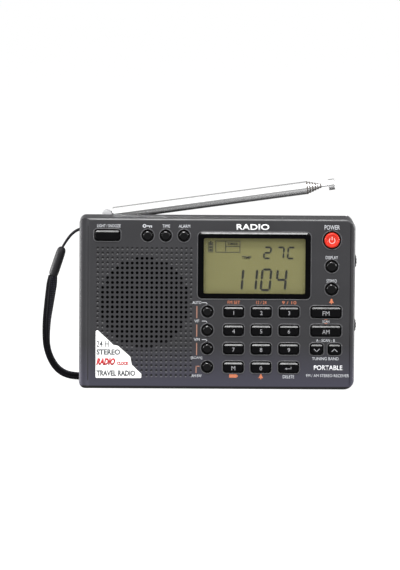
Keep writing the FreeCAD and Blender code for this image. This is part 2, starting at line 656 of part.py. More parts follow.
def battery_contacts():
    """Flat contact plates at both ends of the compartment, each with a raised button."""
    solids = []
    for z in CELL_HEIGHTS:
        for wall_x, toward in ((TUB[0], 1), (TUB[1], -1)):
            near, far = wall_x + toward * 0.1, wall_x + toward * 0.6
            tip = wall_x + toward * 1.5
            leaf = block(min(near, far), max(near, far), CELL_Y - 4.5, CELL_Y + 4.5, z - 4.5, z + 4.5)
            knob = bar_x(CELL_Y, z, 2.0, min(far, tip), max(far, tip))
            solids.append(joined([leaf, knob]))
    return Part.makeCompound(solids)


def headphone_jack():
    """A round socket whose collar passes through the left wall."""
    y, z = JACK_AT
    collar = bar_x(y, z, 2.9, LEFT + 0.1, INNER_LEFT + 0.6)
    body = block(INNER_LEFT + 0.2, INNER_LEFT + 12.0, y - 3.2, y + 4.0, z - 4.0, z + 4.0)
    return joined([collar, body]).cut(bar_x(y, z, JACK_BORE, LEFT - 1, INNER_LEFT + 10.5))


def usb_socket():
    """A flat metal power socket in the left wall."""
    y, z = USB_AT
    shell = block(LEFT + 0.3, INNER_LEFT + 7.0, y - 1.8, y + 1.8, z - 3.9, z + 3.9)
    mouth = block(LEFT - 1, INNER_LEFT + 5.5, y - 1.35, y + 1.35, z - 3.45, z + 3.45)
    tongue = block(LEFT + 1.0, INNER_LEFT + 6.0, y - 0.35, y + 0.35, z - 2.4, z + 2.4)
    return joined([shell.cut(mouth), tongue])


# ---------------------------------------------------------------- antenna

def tilted(shape):
    """Turn a shape drawn along +X about the hinge to the antenna's tilt."""
    shape.rotate(PIVOT, Vector(0, -1, 0), ANTENNA_TILT)
    return shape


def along(radius, start, end):
    """A cylinder on the antenna's line, between two distances from the hinge."""
    return bar_x(PIVOT.y, PIVOT.z, radius, PIVOT.x + start, PIVOT.x + end)


def rounded_end(shape, x, amount):
    """Round the outermost circle at one end of a tube."""
    rims = [e for e in shape.Edges if abs(e.BoundBox.XMin - x) < 1e-4 and abs(e.BoundBox.XMax - x) < 1e-4]
    return shape.makeFillet(amount, rims)


def antenna_base():
    """The swivelling fork with its cross pin, standing in a bore in the rear shell."""
    x, y, z = PIVOT.x, PIVOT.y, PIVOT.z
    stem = post(x, y, SWIVEL_RADIUS, 72.6, GROOVE_FLOOR + 0.3)
    clip = post(x, y, SWIVEL_RADIUS + 0.3, 72.2, 73.2)
    turret = post(x, y, TURRET_RADIUS, GROOVE_FLOOR + 0.1, z - 2.1)
    turret = turret.cut(block(x + TURRET_FLAT, x + 9, y - 9, y + 9, GROOVE_FLOOR, z))
    ears = []
    for side in (-1, 1):
        y0, y1 = sorted((y + side * 1.9, y + side * 3.2))
        ears.append(block(x - 2.4, x + 2.4, y0, y1, z - 2.2, z))
        ears.append(disc(x, z, 2.4, y0, y1))
    pin = disc(x, z, 0.8, y - 2.6, y + 2.6)
    return joined([stem, clip, turret, pin] + ears)


def antenna_outer_tube():
    """The knuckle and the widest tube, closed at its root."""
    x, y, z = PIVOT.x, PIVOT.y, PIVOT.z
    tube = along(TUBE_RADII[0], TUBE_START, TUBE_END)
    tube = rounded_end(tube, x + TUBE_START, 0.5)
    tube = rounded_end(tube, x + TUBE_END, 0.12)
    tube = tube.cut(along(TUBE_RADII[0] - TUBE_WALL, TUBE_START + 2.5, TUBE_END + 1))
    knuckle = disc(x, z, 1.9, y - 1.8, y + 1.8)
    neck = block(x, x + TUBE_START + 0.6, y - 1.8, y + 1.8, z - 1.3, z + 1.3)
    whole = joined([tube, knuckle, neck])
    return tilted(whole.cut(disc(x, z, 0.87, y - 3, y + 3)))


def antenna_section(index):
    """One inner tube: it slides inside the one before it and shows a short end."""
    radius = TUBE_RADII[index]
    end = TUBE_END + SECTION_STEP * index
    tube = along(radius, SECTION_START, end)
    tube = rounded_end(tube, PIVOT.x + end, 0.1)
    return tilted(tube.cut(along(radius - TUBE_WALL, SECTION_START - 1, end + 1)))


def antenna_tip_rod():
    """The solid innermost rod and its rounded tip."""
    rod = along(ROD_RADIUS, SECTION_START + 2, ROD_END + 0.5)
    tip = along(TIP_RADIUS, ROD_END, ROD_END + TIP_LENGTH)
    tip = rounded_end(tip, PIVOT.x + ROD_END + TIP_LENGTH, 0.9)
    tip = rounded_end(tip, PIVOT.x + ROD_END, 0.3)
    return tilted(joined([rod, tip]))


# ---------------------------------------------------------------- strap and label

def soft_tube(name, route, diameter):
    """A tube along straight runs joined by tangent arcs, each arc as large as its runs allow."""
    points = [Vector(*p) for p in route]
    edges = []
    radii = []
    start = points[0]
    for before, corner, after in zip(points, points[1:], points[2:]):
        back = (before - corner).normalize()
        ahead = (after - corner).normalize()
        half_turn = (math.pi - back.getAngle(ahead)) / 2
        reach = 0.45 * min((before - corner).Length, (after - corner).Length)
        radius = reach / math.tan(half_turn)
        radii.append(radius)
        arc_start = corner + back * reach
        arc_end = corner + ahead * reach
        bisector = (back + ahead).normalize()
        middle = corner + bisector * (radius / math.cos(half_turn) - radius)
        edges.append(Part.LineSegment(start, arc_start).toShape())
        edges.append(Part.Arc(arc_start, middle, arc_end).toShape())
        start = arc_end
    edges.append(Part.LineSegment(start, points[-1]).toShape())
    path = Part.Wire(edges)
    section = Part.Wire(Part.makeCircle(diameter / 2, points[0], points[1] - points[0]))
    tube = path.makePipeShell([section], True, False)
    expected = math.pi * diameter ** 2 / 4 * path.Length
    turns = ", ".join(str(round(r, 1)) for r in radii)
    print(name, "length", round(path.Length, 1), "radii", turns, "volume ratio", round(tube.Volume / expected, 4))
    return tube


def strap_sleeve():
    """The moulded sleeve where the string joins the band, a little clear of both."""
    line = SLEEVE_BOTTOM - SLEEVE_TOP
    top = SLEEVE_TOP + line.normalize() * SLEEVE_GAP
    length = (SLEEVE_BOTTOM - SLEEVE_TOP).Length - 2 * SLEEVE_GAP
    return Part.makeCylinder(SLEEVE_RADIUS, length, top, line)


def front_label():
    """The thin self-adhesive label at the panel's lower left."""
    corners = ((-60.2, 5.3), (-36.9, 5.3), (-36.9, 7.4), (-41.6, 11.9), (-42.3, 15.8), (-48.4, 21.2),
               (-50.6, 21.6), (-59.3, 28.9), (-60.2, 28.4))
    points = [Vector(x, FRONT - 0.1, z) for x, z in corners]
    face = Part.Face(Part.makePolygon(points + [points[0]]))
    label = face.extrude(Vector(0, 0.1, 0))
    upright = [e for e in label.Edges if e.BoundBox.YLength > 0.09 and e.BoundBox.DiagonalLength < 0.11]
    return label.makeFillet(0.5, upright)


def build():
    os.makedirs("parts", exist_ok=True)
    keys = controls()
    body = case_body()
    save("front_cabinet", front_cabinet(body, keys))
    save("rear_cabinet", rear_cabinet(body))
    save("battery_door", battery_door())
    save("rear_stand", rear_stand())
    save("case_screws", case_screws())
    for name, key in keys.items():
        save(name, push_button(key))
    save("display_bezel", display_bezel())
    save("display_window", display_window())
    save("lcd_panel", lcd_panel())
    save("main_board", main_board())
    save("key_switches", key_switches(keys))
    save("speaker_frame", speaker_frame())
    save("speaker_cone", speaker_cone())
    save("speaker_magnet", speaker_magnet())
    save("ferrite_rod", ferrite_rod())
    save("wheel_encoders", wheel_encoders())
    for name, z in WHEEL_HEIGHTS.items():
        save(name, thumb_wheel(z))
    save("battery_cells", battery_cells())
    save("battery_contacts", battery_contacts())
    save("headphone_jack", headphone_jack())
    save("usb_socket", usb_socket())
    save("antenna_base", antenna_base())
    save("antenna_outer_tube", antenna_outer_tube())
    for index in range(1, len(TUBE_RADII)):
        save("antenna_section_" + str(index), antenna_section(index))
    save("antenna_tip_rod", antenna_tip_rod())
    save("strap_string", soft_tube("strap_string", STRING_ROUTE, STRING_DIAMETER))
    save("strap_sleeve", strap_sleeve())
    save("strap_band", soft_tube("strap_band", BAND_ROUTE, BAND_DIAMETER))
    save("front_label", front_label())


build()
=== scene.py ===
import bpy
import json
import math
from mathutils import Matrix, Vector


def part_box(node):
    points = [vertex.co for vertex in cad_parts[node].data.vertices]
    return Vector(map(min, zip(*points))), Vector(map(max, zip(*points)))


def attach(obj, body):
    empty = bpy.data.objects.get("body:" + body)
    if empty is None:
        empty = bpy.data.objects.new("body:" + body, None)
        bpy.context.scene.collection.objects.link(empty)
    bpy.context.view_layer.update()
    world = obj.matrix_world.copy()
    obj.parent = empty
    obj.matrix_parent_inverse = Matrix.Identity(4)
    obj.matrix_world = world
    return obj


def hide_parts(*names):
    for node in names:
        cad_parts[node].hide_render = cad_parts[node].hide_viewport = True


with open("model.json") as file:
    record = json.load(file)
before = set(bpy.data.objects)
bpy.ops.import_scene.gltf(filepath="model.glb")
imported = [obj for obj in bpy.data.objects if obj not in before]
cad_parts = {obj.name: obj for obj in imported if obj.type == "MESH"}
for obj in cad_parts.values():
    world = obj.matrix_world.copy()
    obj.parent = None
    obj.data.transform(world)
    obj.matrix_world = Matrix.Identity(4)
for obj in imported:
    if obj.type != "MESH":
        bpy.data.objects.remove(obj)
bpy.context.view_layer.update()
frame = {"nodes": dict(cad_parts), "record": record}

# A portable tabletop radio. Everything is in metres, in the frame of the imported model:
# +X to the right of the front panel, -Y out of it, +Z up.

nodes = frame["nodes"]
MM = 0.001


def low(node):
    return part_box(node)[0]


def high(node):
    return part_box(node)[1]


def middle(node):
    lo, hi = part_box(node)
    return (Vector(lo) + Vector(hi)) / 2


CASE_LOW, CASE_HIGH = low("front_cabinet"), high("rear_cabinet")
PANEL_Y = low("front_cabinet")[1]
PRINT_THICK = 0.025 * MM
PRINT_LIFT = 0.012 * MM


# ------------------------------------------------------------------ camera

def make_camera():
    """A long lens a little above the radio, in front of it."""
    distance = 2.0
    elevation = math.radians(6.2)
    azimuth = math.radians(0.8)
    roll = math.radians(0.4)
    seen_height = 280.8 * MM
    offset_right, offset_down = 8.28 * MM, 7.83 * MM
    centre = Vector((0.0, 0.0, (CASE_LOW[2] + CASE_HIGH[2]) / 2))
    forward = Vector((math.sin(azimuth) * math.cos(elevation), math.cos(azimuth) * math.cos(elevation),
                      -math.sin(elevation)))
    right = Vector((math.cos(azimuth), -math.sin(azimuth), 0.0))
    up = right.cross(forward)
    position = centre - forward * distance
    aim = centre + up * offset_down - right * offset_right
    data = bpy.data.cameras.new("camera")
    data.sensor_width = 36.0
    data.lens = data.sensor_width * distance / seen_height
    data.clip_start, data.clip_end = 0.1, 60.0
    camera = bpy.data.objects.new("camera", data)
    bpy.context.scene.collection.objects.link(camera)
    camera.location = position
    turned = (aim - position).to_track_quat("-Z", "Y")
    camera.rotation_mode = "QUATERNION"
    camera.rotation_quaternion = turned @ Matrix.Rotation(roll, 3, "Z").to_quaternion()
    bpy.context.scene.camera = camera


make_camera()


# ------------------------------------------------------------------ materials

class Recipe:
    """A procedural material: a Principled shader with helpers that add nodes to it."""

    def __init__(self, name, colour, roughness, metallic=0.0, ior=1.45):
        self.material = bpy.data.materials.new(name)
        self.material.use_nodes = True
        self.tree = self.material.node_tree
        self.shader = self.tree.nodes["Principled BSDF"]
        self.colour = (*colour, 1.0)
        self.shader.inputs["Base Color"].default_value = self.colour
        self.shader.inputs["Roughness"].default_value = roughness
        self.shader.inputs["Metallic"].default_value = metallic
        self.shader.inputs["IOR"].default_value = ior
        self.roughness = roughness
        self.height = None

    def node(self, kind, **values):
        made = self.tree.nodes.new(kind)
        for key, value in values.items():
            if hasattr(made, key):
                setattr(made, key, value)
            else:
                made.inputs[key.replace("_", " ")].default_value = value
        return made

    def link(self, source, target):
        self.tree.links.new(source, target)

    def place(self, scale=(1, 1, 1), kind="Object"):
        coordinates = self.node("ShaderNodeTexCoord")
        mapping = self.node("ShaderNodeMapping")
        mapping.inputs["Scale"].default_value = scale
        self.link(coordinates.outputs[kind], mapping.inputs["Vector"])
        return mapping.outputs["Vector"]

    def noise(self, scale, detail):
        made = self.node("ShaderNodeTexNoise", Scale=scale, Detail=detail)
        self.link(self.place(), made.inputs["Vector"])
        return made.outputs["Fac"]

    def ramp(self, source, stops):
        made = self.node("ShaderNodeValToRGB")
        elements = made.color_ramp.elements
        while len(elements) < len(stops):
            elements.new(0.5)
        for element, (position, value) in zip(elements, stops):
            element.position = position
            element.color = (*value, 1.0) if isinstance(value, tuple) else (value, value, value, 1.0)
        self.link(source, made.inputs["Fac"])
        return made.outputs["Color"]

    def scaled(self, factor):
        return tuple(min(1.0, c * factor) for c in self.colour[:3])

    def vary_colour(self, source, spread):
        """The colour drifts by the spread, either way."""
        stops = ((0.35, self.scaled(1 - spread)), (0.65, self.scaled(1 + spread)))
        self.link(self.ramp(source, stops), self.shader.inputs["Base Color"])
        return self

    def vary_roughness(self, source, spread):
        """The roughness drifts by the spread, either way."""
        stops = ((0.3, max(0.02, self.roughness - spread)), (0.7, min(1.0, self.roughness + spread)))
        self.link(self.ramp(source, stops), self.shader.inputs["Roughness"])
        return self

    def bump(self, source, strength, depth):
        made = self.node("ShaderNodeBump", Strength=strength, Distance=depth)
        self.link(source, made.inputs["Height"])
        if self.height is not None:
            self.link(self.height, made.inputs["Normal"])
        self.height = made.outputs["Normal"]
        self.link(self.height, self.shader.inputs["Normal"])
        return self


def moulded(name, colour, roughness, grain=5200.0, strength=0.35, ior=1.3):
    """Moulded plastic with a fine spark-eroded texture, faint cloudiness and a rubbed sheen in places."""
    recipe = Recipe(name, colour, roughness, ior=ior)
    recipe.vary_colour(recipe.noise(55.0, 4.0), 0.07)
    recipe.vary_roughness(recipe.noise(120.0, 5.0), 0.06)
    recipe.bump(recipe.noise(grain, 2.0), strength, 0.00004)
    return recipe


def glossy(name, colour, roughness, ior=1.3):
    """Polished plastic with faint orange peel and a little handling haze."""
    recipe = Recipe(name, colour, roughness, ior=ior)
    recipe.vary_colour(recipe.noise(300.0, 3.0), 0.12)
    recipe.vary_roughness(recipe.noise(700.0, 4.0), 0.05)
    recipe.bump(recipe.noise(900.0, 2.0), 0.08, 0.00003)
    return recipe


UPWARD = ((0.12, 0.0), (0.28, 1.0))


def polished_edges(recipe, ior, stops=UPWARD, where=None):
    """Edges worn smooth: a higher gloss where the surface leans upwards, by the stops over its normal's Z."""
    geometry = recipe.node("ShaderNodeNewGeometry")
    split = recipe.node("ShaderNodeSeparateXYZ")
    recipe.link(geometry.outputs["Normal"], split.inputs["Vector"])
    spread = recipe.node("ShaderNodeMapRange")
    spread.inputs["To Min"].default_value = recipe.shader.inputs["IOR"].default_value
    spread.inputs["To Max"].default_value = ior
    amount = recipe.ramp(split.outputs["Z"], stops)
    if where:
        limited = recipe.node("ShaderNodeMath", operation="MULTIPLY")
        recipe.link(amount, limited.inputs[0])
        recipe.link(where, limited.inputs[1])
        amount = limited.outputs[0]
    recipe.link(amount, spread.inputs["Value"])
    recipe.link(spread.outputs["Result"], recipe.shader.inputs["IOR"])
    return recipe


def metal(name, colour, roughness, strength=0.05):
    """Bare or plated metal, very finely scratched."""
    recipe = Recipe(name, colour, roughness, metallic=1.0)
    recipe.vary_colour(recipe.noise(140.0, 3.0), 0.05)
    recipe.vary_roughness(recipe.noise(900.0, 3.0), 0.04)
    recipe.bump(recipe.noise(900.0, 2.0), strength, 0.00002)
    return recipe


def paint(name, colour, roughness=0.55):
    """Screen print: slightly uneven ink."""
    recipe = Recipe(name, colour, roughness)
    recipe.vary_colour(recipe.noise(2500.0, 2.0), 0.06)
    recipe.vary_roughness(recipe.noise(1500.0, 2.0), 0.08)
    return recipe.material


def cabinet_material(name, roughness, panel):
    """Dark grey case plastic with painted light and shade: a painted floor reflection, lighter and more
    violet, near the foot; painted shade in a panel's openings; a painted contact shadow along the bottom.
    """
    recipe = moulded(name, (0.0182, 0.018, 0.0199), roughness)
    place = recipe.node("ShaderNodeTexCoord")
    split = recipe.node("ShaderNodeSeparateXYZ")
    recipe.link(place.outputs["Object"], split.inputs["Vector"])

    def above(axis, limit, soft):
        """0 before the limit along an axis and 1 past it; a negative soft stretch turns the sense round."""
        ranged = recipe.node("ShaderNodeMapRange")
        ranged.inputs["From Min"].default_value = limit
        ranged.inputs["From Max"].default_value = limit + soft
        recipe.link(split.outputs[axis], ranged.inputs["Value"])
        return ranged.outputs["Result"]

    def both(first, second):
        joined = recipe.node("ShaderNodeMath", operation="MULTIPLY")
        recipe.link(first, joined.inputs[0])
        recipe.link(second, joined.inputs[1])
        return joined.outputs[0]

    def blend(amount, colour):
        mix = recipe.node("ShaderNodeMix", data_type="RGBA")
        recipe.link(amount, mix.inputs[0])
        recipe.link(recipe.shader.inputs["Base Color"].links[0].from_socket, mix.inputs[6])
        mix.inputs[7].default_value = (*colour, 1.0)
        recipe.link(mix.outputs[2], recipe.shader.inputs["Base Color"])

    # Painted reflection of the pale floor: the plastic is painted lighter and more violet towards the foot.
    blend(above("Z", CASE_LOW[2] + 22.0 * MM, -20.0 * MM), (0.0295, 0.0285, 0.0415))
    if panel:
        # Painted shade: behind the panel's face, and away from the case's outer edges, the plastic is painted
        # darker from a little depth and near black deeper in.
        inset = 4.0 * MM
        depth = above("Y", PANEL_Y + 0.5 * MM, 0.15 * MM)
        across = both(above("X", CASE_LOW[0] + inset, 0.1 * MM), above("X", CASE_HIGH[0] - inset, -0.1 * MM))
        upright = both(above("Z", CASE_LOW[2] + inset, 0.1 * MM), above("Z", CASE_HIGH[2] - inset, -0.1 * MM))
        hollow = above("Y", PANEL_Y + 0.08 * MM, 0.2 * MM)
        blend(both(hollow, both(across, upright)), (0.006, 0.006, 0.0066))
        blend(both(depth, both(across, upright)), (0.0012, 0.0012, 0.0012))
    # Painted contact shadow: the case is painted near black along its bottom edge.
    blend(above("Z", CASE_LOW[2] + 1.7 * MM, -0.6 * MM), (0.001, 0.001, 0.001))
    along_top = recipe.node("ShaderNodeMath", operation="MAXIMUM")
    recipe.link(above("Z", CASE_HIGH[2] - 3.0 * MM, 0.2 * MM), along_top.inputs[0])
    along_top.inputs[1].default_value = 0.3
    bevel_faces = ((0.3, 0.0), (0.42, 1.0), (0.82, 1.0), (0.93, 0.0))
    polished_edges(recipe, 1.65, bevel_faces, along_top.outputs[0])
    return recipe.material


def window_material():
    """A clear, polished cover: mostly see-through, with its own reflection."""
    recipe = Recipe("clear_window", (0.01, 0.01, 0.01), 0.04, ior=1.49)
    recipe.vary_roughness(recipe.noise(400.0, 3.0), 0.02)
    recipe.shader.inputs["Alpha"].default_value = 0.05
    recipe.material.surface_render_method = "BLENDED"
    return recipe.material


def lcd_material():
    """The olive reflector of the liquid crystal panel: fine grain, slightly uneven tint."""
    recipe = Recipe("lcd_reflector", (0.145, 0.138, 0.060), 0.5, ior=1.2)
    recipe.vary_colour(recipe.noise(45.0, 3.0), 0.05)
    recipe.vary_roughness(recipe.noise(300.0, 2.0), 0.05)
    return recipe.material


def chrome_material():
    """Bright plating with painted reflections and shade: its colour follows the normal's Z, painted near
    black on the underside, turned to the dark case, with a painted darker band where it faces sideways and a
    darker line along the top.
    """
    recipe = Recipe("antenna_chrome", (0.86, 0.86, 0.87), 0.27, metallic=0.8)
    geometry = recipe.node("ShaderNodeNewGeometry")
    split = recipe.node("ShaderNodeSeparateXYZ")
    recipe.link(geometry.outputs["Normal"], split.inputs["Vector"])
    # Painted reflection and shade: plating tones over the normal's Z, from the dark underside to the bright
    # top.
    stops = ((0.06, 0.02), (0.11, 0.06), (0.17, 0.55), (0.22, 0.9), (0.34, 0.9),
             (0.41, 0.42), (0.49, 0.2), (0.55, 0.75), (0.93, 0.86), (0.97, 0.3))
    spread = recipe.node("ShaderNodeMapRange")
    spread.inputs["From Min"].default_value = -1.0
    recipe.link(split.outputs["Z"], spread.inputs["Value"])
    recipe.link(recipe.ramp(spread.outputs["Result"], stops), recipe.shader.inputs["Base Color"])
    recipe.vary_roughness(recipe.noise(220.0, 2.0), 0.012)
    return recipe.material


def fabric(name, colour, across, along, roughness=0.9, strength=0.9):
    """Woven webbing: crossed waves over the strip's own length and width."""
    recipe = Recipe(name, colour, roughness, ior=1.2)
    place = recipe.place((along, across, 1), "UV")
    weft = recipe.node("ShaderNodeTexWave", Scale=1.0, Distortion=1.2)
    weft.bands_direction = "X"
    warp = recipe.node("ShaderNodeTexWave", Scale=1.0, Distortion=0.8)
    warp.bands_direction = "Y"
    recipe.link(place, weft.inputs["Vector"])
    recipe.link(place, warp.inputs["Vector"])
    both = recipe.node("ShaderNodeMath", operation="MULTIPLY")
    recipe.link(weft.outputs["Fac"], both.inputs[0])
    recipe.link(warp.outputs["Fac"], both.inputs[1])
    stops = ((0.1, recipe.scaled(0.5)), (0.8, recipe.scaled(6.5)))
    recipe.link(recipe.ramp(both.outputs[0], stops), recipe.shader.inputs["Base Color"])
    recipe.bump(both.outputs[0], strength, 0.00015)
    return recipe.material


MATERIALS = {
    "cabinet_grey": cabinet_material("cabinet_plastic", 0.5, True),
    "rear_grey": cabinet_material("rear_plastic", 0.52, False),
    "key_black": polished_edges(glossy("key_plastic", (0.002, 0.002, 0.0023), 0.17, ior=1.11), 1.22).material,
    "round_key_black": polished_edges(
        moulded("round_key_rubber", (0.0015, 0.0015, 0.0017), 0.13, ior=1.2, strength=0.04), 1.55).material,
    "power_red": glossy("power_plastic", (0.42, 0.018, 0.008), 0.3).material,
    "bezel_black": polished_edges(
        glossy("bezel_plastic", (0.0012, 0.0012, 0.0014), 0.12, ior=1.08), 1.33).material,
    "window_clear": window_material(),
    "lcd_olive": lcd_material(),
    "board_green": glossy("board_mask", (0.015, 0.11, 0.05), 0.3).material,
    "switch_black": moulded("switch_plastic", (0.02, 0.02, 0.02), 0.5).material,
    "speaker_steel": metal("speaker_steel", (0.02, 0.02, 0.021), 0.45).material,
    "cone_paper": moulded("cone_paper", (0.012, 0.012, 0.012), 0.9, grain=1500.0, strength=0.8).material,
    "magnet_black": metal("magnet_ferrite", (0.05, 0.05, 0.055), 0.5).material,
    "ferrite": moulded("ferrite_core", (0.03, 0.028, 0.028), 0.45).material,
    "encoder_metal": metal("encoder_steel", (0.5, 0.5, 0.52), 0.3).material,
    "wheel_black": moulded("wheel_plastic", (0.002, 0.002, 0.003), 0.5, ior=1.14).material,
    "cell_wrap": glossy("cell_film", (0.03, 0.12, 0.26), 0.3).material,
    "contact_nickel": metal("contact_nickel", (0.66, 0.65, 0.62), 0.25).material,
    "jack_black": glossy("jack_plastic", (0.01, 0.01, 0.01), 0.25).material,
    "socket_steel": metal("socket_steel", (0.085, 0.085, 0.09), 0.42).material,
    "antenna_chrome": chrome_material(),
    "screw_steel": metal("screw_zinc", (0.12, 0.12, 0.13), 0.35).material,
    "string_black": moulded(
        "string_cord", (0.003, 0.0027, 0.004), 0.75, grain=2500.0, strength=1.0, ior=1.2).material,
    "sleeve_black": moulded("sleeve_rubber", (0.0075, 0.0072, 0.0085), 0.55, ior=1.25).material,
    "band_black": fabric("band_webbing", (0.0028, 0.0027, 0.0042), across=0.65, along=0.16),
    "label_white": paint("label_paper", (0.72, 0.72, 0.71), 0.35),
}
# Painted highlight: the lips' plastic is painted lighter than the case; it is also glossier.
RIM_PAINTED_HIGHLIGHT = moulded("rim_painted_highlight", (0.046, 0.046, 0.049), 0.36, ior=1.4).material
TURRET_CHROME = metal("turret_chrome", (0.86, 0.86, 0.87), 0.3, strength=0.02).material
RING_STEEL = moulded("ring_groove", (0.085, 0.076, 0.07), 0.7, ior=1.15).material
# Painted shade: a near-black sheet laid in each key's gap stands for the shadow in it.
GAP_SHADE_SHEET = moulded("key_gap_painted_shade", (0.0012, 0.0012, 0.0012), 0.8, ior=1.1).material
WHITE_PRINT = paint("white_print", (0.40, 0.41, 0.43))
KEY_PRINT = paint("key_print", (0.22, 0.22, 0.23))
BRIGHT_PRINT = paint("bright_print", (0.62, 0.62, 0.63))
POWER_PRINT = paint("power_print", (0.5, 0.32, 0.3))
ORANGE_PRINT = paint("orange_print", (0.37, 0.112, 0.05))
ORANGE_LINE = paint("orange_line", (0.25, 0.12, 0.083))
LCD_INK = paint("lcd_ink", (0.004, 0.005, 0.003), 0.4)
LCD_PAINTED_SHADOW = paint("lcd_painted_shadow", (0.085, 0.081, 0.036), 0.5)
LABEL_GREY = paint("label_grey_ink", (0.05, 0.054, 0.058))
LABEL_RED = paint("label_red_ink", (0.34, 0.008, 0.012))

for part in frame["record"]["subparts"]:
    holder = nodes[part["node"]]
    holder.data.materials.clear()
    holder.data.materials.append(MATERIALS[part["material_slot"]])
nodes["antenna_base"].data.materials[0] = TURRET_CHROME


# ------------------------------------------------------------------ mesh helpers

def new_object(name, mesh, material, body):
    made = bpy.data.objects.new(name, mesh)
    bpy.context.scene.collection.objects.link(made)
    mesh.materials.clear()
    mesh.materials.append(material)
    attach(made, body)
    return made


def prism(outline, y_front, thickness):
    """Vertices and faces of a flat outline in x and z, given a thickness along +Y."""
    count = len(outline)
    verts = [(x, y_front, z) for x, z in outline] + [(x, y_front + thickness, z) for x, z in outline]
    faces = [tuple(range(count)), tuple(range(2 * count - 1, count - 1, -1))]
    faces += [(i, i + count, (i + 1) % count + count, (i + 1) % count) for i in range(count)]
    return verts, faces


def shapes_mesh(name, outlines, y_front, thickness):
    """One mesh from several flat outlines at the same depth."""
    verts, faces = [], []
    for outline in outlines:
        area = sum(a[0] * b[1] - b[0] * a[1] for a, b in zip(outline, outline[1:] + outline[:1]))
        ordered = outline if area > 0 else outline[::-1]
        more, sides = prism(ordered, y_front, thickness)
        start = len(verts)
        verts += more
        faces += [tuple(i + start for i in face) for face in sides]
    mesh = bpy.data.meshes.new(name)
    mesh.from_pydata(verts, [], faces)
    mesh.update()
    return mesh


def printed_shapes(name, outlines, y_front, material, body="cabinet"):
    """Ink on a surface: a layer a few hundredths of a millimetre thick."""
    mesh = shapes_mesh(name, outlines, y_front - PRINT_LIFT - PRINT_THICK, PRINT_THICK)
    return new_object(name, mesh, material, body)


def settle(mark, node):
    """Move a print's vertices back onto the curved face of the part that carries it."""
    carrier = nodes[node]
    into = carrier.matrix_world.inverted()
    level = min(vertex.co.y for vertex in mark.data.vertices)
    for vertex in mark.data.vertices:
        start = Vector((vertex.co.x, level - 5.0 * MM, vertex.co.z))
        hit, place, _, _ = carrier.ray_cast(into @ start, into.to_3x3() @ Vector((0.0, 1.0, 0.0)))
        if hit:
            vertex.co.y += (carrier.matrix_world @ place).y - PRINT_LIFT - PRINT_THICK - level


def stroke(points, width):
    """Outlines of a thick line through the points, one four-sided piece to each run."""
    outlines = []
    for (x0, z0), (x1, z1) in zip(points, points[1:]):
        run = Vector((x1 - x0, z1 - z0))
        side = Vector((-run.y, run.x)).normalized() * width / 2
        ahead = run.normalized() * width * 0.35
        a, b = Vector((x0, z0)) - ahead, Vector((x1, z1)) + ahead
        outlines.append([tuple(a - side), tuple(b - side), tuple(b + side), tuple(a + side)])
    return outlines


def arc_points(cx, cz, radius, start, end, count=16):
    angles = [math.radians(start + (end - start) * i / (count - 1)) for i in range(count)]
    return [(cx + radius * math.cos(a), cz + radius * math.sin(a)) for a in angles]


def arc_band(cx, cz, radius, start, end, width, count=24):
    """A curved line as pieces that share edges and don't overlap."""
    inner = arc_points(cx, cz, radius - width / 2, start, end, count)
    outer = arc_points(cx, cz, radius + width / 2, start, end, count)
    return [[inner[i], outer[i], outer[i + 1], inner[i + 1]] for i in range(count - 1)]


def disc_outline(cx, cz, radius, count):
    return arc_points(cx, cz, radius, 0, 360 * (count - 1) / count, count)


def box_outline(x0, x1, z0, z1):
    return [(x0, z0), (x1, z0), (x1, z1), (x0, z1)]


def box_near(x, z, left, right, bottom, top):
    """A rectangle whose sides are given in millimetres from a point."""
    return box_outline(x + left * MM, x + right * MM, z + bottom * MM, z + top * MM)


def points_near(x, z, *steps):
    """Points given in millimetres from a point."""
    return [(x + across * MM, z + up * MM) for across, up in steps]


def printed_text(name, words, at, height, y_front, material, body="cabinet", width=None,
                 bold=0.0, lean=0.0):
    """Letters or digits of a given height and width, centred on a point of a surface that faces -Y."""
    curve = bpy.data.curves.new(name, "FONT")
    curve.body = words
    curve.offset = bold
    curve.resolution_u = 3
    holder = bpy.data.objects.new(name + "_source", curve)
    bpy.context.scene.collection.objects.link(holder)
    bpy.context.view_layer.update()
    graph = bpy.context.evaluated_depsgraph_get()
    mesh = bpy.data.meshes.new_from_object(holder.evaluated_get(graph))
    bpy.data.objects.remove(holder)
    bpy.data.curves.remove(curve)
    xs = [v.co.x for v in mesh.vertices]
    ys = [v.co.y for v in mesh.vertices]
    tall = height / (max(ys) - min(ys))
    wide = tall if width is None else width / (max(xs) - min(xs))
    centre_x, centre_y = (max(xs) + min(xs)) / 2, (max(ys) + min(ys)) / 2
    for vertex in mesh.vertices:
        across, up = (vertex.co.x - centre_x) * wide, (vertex.co.y - centre_y) * tall
        vertex.co = (at[0] + across + up * lean, y_front - PRINT_LIFT, at[1] + up)
    made = new_object(name, mesh, material, body)
    thick = made.modifiers.new("ink", "SOLIDIFY")
    thick.thickness = PRINT_THICK
    thick.offset = 1.0
    return made


# ------------------------------------------------------------------ strap

